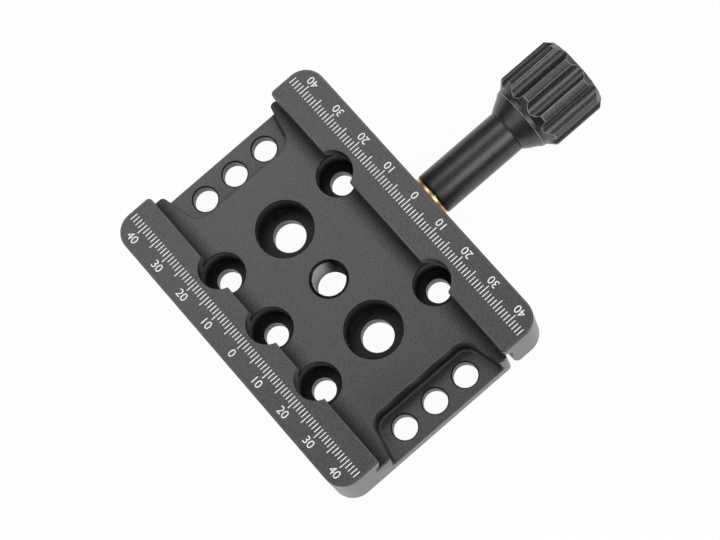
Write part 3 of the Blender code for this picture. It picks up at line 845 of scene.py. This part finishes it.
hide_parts("clamp_screw")


# Two guide pins, pressed into the sliding jaw, run in the base and keep the jaw square. They are cut from
# ground steel rod, with their ends chamfered.
def turned_piece(name, profile, x, y, finish, body, node, segments, closed=False):
    """A piece turned about an axis along Y at the screw's height, which rides on a body.

    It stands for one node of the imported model.
    """
    piece = lofted(name, swept_round(profile, (x, y, screw_z), "Y", segments), finish, closed)
    shade(piece, degrees=35)
    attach(piece, body)
    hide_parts(node)


pin_start = 14.0 * mm
pin_end = 31.2 * mm
pin_chamfer = 0.3 * mm
pin_radius = 1.5 * mm
pin_tip = 1.2 * mm
pin = [
    (pin_start, pin_tip),
    (pin_start + pin_chamfer, pin_radius),
    (pin_end - pin_chamfer, pin_radius),
    (pin_end, pin_tip),
]
turned_piece("pin_left", pin, -pin_x, 0.0, steel, "jaw", "guide_pin_1", segments=48)
turned_piece("pin_right", pin, pin_x, 0.0, steel, "jaw", "guide_pin_2", segments=48)


# Two compression springs in blind holes of the base push the jaw open when the screw is undone. They are of
# spring wire 0.6 mm thick, wound to 4 mm over the coil, with a close turn at each end.
def coil_spring(name, x, node):
    """A tube along a helix: the centre line turns round the axis, and the wire's circle is swept along it."""
    wire = 0.3 * mm
    coil = 1.7 * mm
    turns = 7
    steps_in_turn = 40
    wire_sides = 12
    start = 18.1 * mm
    stop = 28.2 * mm
    close = 0.7 * mm
    open_pitch = (stop - start - 2 * close) / (turns - 2)
    turn = np.linspace(0, turns, turns * steps_in_turn + 1)
    closed = np.minimum(turn, 1.0) + np.maximum(turn - (turns - 1), 0.0)
    y = start + closed * close + (turn - closed) * open_pitch
    angle = math.tau * turn
    outward = np.stack([np.cos(angle), np.zeros_like(angle), np.sin(angle)], axis=1)
    centre = np.stack([np.full_like(y, x), y, np.full_like(y, screw_z)], axis=1) + outward * coil
    around = np.linspace(0, math.tau, wire_sides, endpoint=False)
    across = outward[:, None, :] * np.cos(around)[None, :, None]
    upward = np.array((0.0, 1.0, 0.0)) * np.sin(around)[None, :, None]
    spring = lofted(name, centre[:, None, :] + (across + upward) * wire, steel)
    shade(spring, degrees=50)
    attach(spring, "base")
    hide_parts(node)


coil_spring("spring_left", -spring_x, "return_spring_1")
coil_spring("spring_right", spring_x, "return_spring_2")


# The thrust washer: brass, turned, between the sliding jaw and the sleeve, so that the knob turns easily
# under load.
brass = Finish("turned_brass")
place = brass.place_on_object()
wobble = brass.noise(place, scale=600.0, detail=2.0)
tool_feed = 0.12 * mm
tool_lines = (brass.coordinate(place, 1) * (math.tau / tool_feed) + wobble * 2.0).wave()
brass.surface(
    Base_Color=brass.mixed(tool_lines, (0.62, 0.41, 0.17, 1.0), (0.86, 0.63, 0.32, 1.0)),
    Metallic=1.0,
    Roughness=wobble * 0.2 + 0.22,
)
thickness = 1.0 * mm
washer_radius = 5.7 * mm
washer_chamfer = 0.15 * mm
washer = [
    (0.0, screw_way),
    (thickness, screw_way),
    (thickness, washer_radius - washer_chamfer),
    (thickness - washer_chamfer, washer_radius),
    (washer_chamfer, washer_radius),
    (0.0, washer_radius - washer_chamfer),
]
turned_piece(
    "washer", washer, 0.0, washer_y, brass, "jaw", "thrust_washer", segments=96, closed=True
)


# The sleeve: a plain tube, turned from aluminium and anodised satin black. It sits on the screw between the
# washer and the knob, and keeps the knob clear of the plate.
satin = Finish("anodised_satin")
place = satin.place_on_object()
speck = satin.noise(place, scale=2600.0, detail=3.0, roughness=0.6)
drift = satin.noise(place, scale=160.0, detail=3.0)
speck_contrast = 3.0
satin_tone = (speck - 0.5) * speck_contrast + drift
satin.surface(
    Base_Color=satin.mixed(satin_tone, (0.002, 0.002, 0.002, 1.0), (0.017, 0.017, 0.0175, 1.0)),
    Roughness=speck * 0.30 + 0.22,
    Metallic=(0.54 - speck) * 2.2,
    IOR=1.64,
    Coat_Weight=0.25,
    Coat_Roughness=0.28,
    Normal=satin.bump(speck, strength=0.06, distance=0.02 * mm),
)
sleeve_length = 24.6 * mm
sleeve_radius = 5.85 * mm
sleeve = [
    (0.0, screw_way),
    (sleeve_length, screw_way),
    (sleeve_length, 5.5 * mm),
    (sleeve_length - 0.04 * mm, 5.77 * mm),
    (sleeve_length - 0.15 * mm, sleeve_radius),
    (0.35 * mm, sleeve_radius),
    (0.1 * mm, 5.7 * mm),
    (0.0, 5.5 * mm),
]
turned_piece(
    "sleeve", sleeve, 0.0, sleeve_y, satin, "knob", "knob_sleeve", segments=128, closed=True
)


# The knob: turned from the same bar, with a cone that flares from the sleeve and a grip chamfered at both
# ends. Ten round flutes are milled along the grip; their edges stay crisp, and their lighter grey is a
# painted highlight.
# The knob's eased edges are a lighter grey: a painted highlight along them.
knob_rim_highlight = Finish("anodised_knob_rim_highlight")
knob_rim_mottle = knob_rim_highlight.noise(knob_rim_highlight.place_on_object(), scale=900.0, detail=3.0, roughness=0.6)
knob_rim_highlight.surface(
    Base_Color=knob_rim_highlight.mixed(knob_rim_mottle, (0.05, 0.05, 0.051, 1.0), (0.34, 0.34, 0.345, 1.0)),
    Roughness=knob_rim_mottle * 0.15 + 0.22,
    IOR=1.77,
)

knob_length = 23.4 * mm
knob_bore = 3.1 * mm
grip = 11.0 * mm
front_chamfer = 2.0 * mm
back_chamfer = 1.6 * mm
grip_start = 7.6 * mm
knob_profile = [
    (17.3 * mm, knob_bore),
    (0.0, knob_bore),
    (0.0, 5.6 * mm),
    (0.0, 5.75 * mm),
    (0.2 * mm, 6.0 * mm),
    (1.3 * mm, 6.75 * mm),
    (3.3 * mm, 7.9 * mm),
    (4.45 * mm, 8.72 * mm),
    (4.6 * mm, 8.86 * mm),
    (grip_start - front_chamfer, grip - front_chamfer),
    (grip_start, grip),
    (knob_length - back_chamfer, grip),
    (knob_length, grip - back_chamfer),
    (knob_length, 7.6 * mm),
    (knob_length - 0.6 * mm, 7.0 * mm),
]
knob_rings = swept_round(knob_profile, (0.0, knob_y, screw_z), "Y", segments=160)
knob = lofted("knob_body", knob_rings, satin)
flute_count = 10
flute_step = math.tau / flute_count
flute_radius = 2.6 * mm
flute_centre = 12.0 * mm
flute = [(2.0 * mm, flute_radius), (knob_length + past, flute_radius)]
flutes = []
for number in range(flute_count):
    angle = flute_step * (number + 0.5)
    centre = (flute_centre * math.sin(angle), knob_y, screw_z + flute_centre * math.cos(angle))
    flutes.append(lofted(f"flute_{number}", swept_round(flute, centre, "Y", segments=64), satin))
carve(knob, flutes)
ease_edges(knob, width=0.12 * mm, finish=knob_rim_highlight)
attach(knob, "knob")
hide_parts("knob_grip")
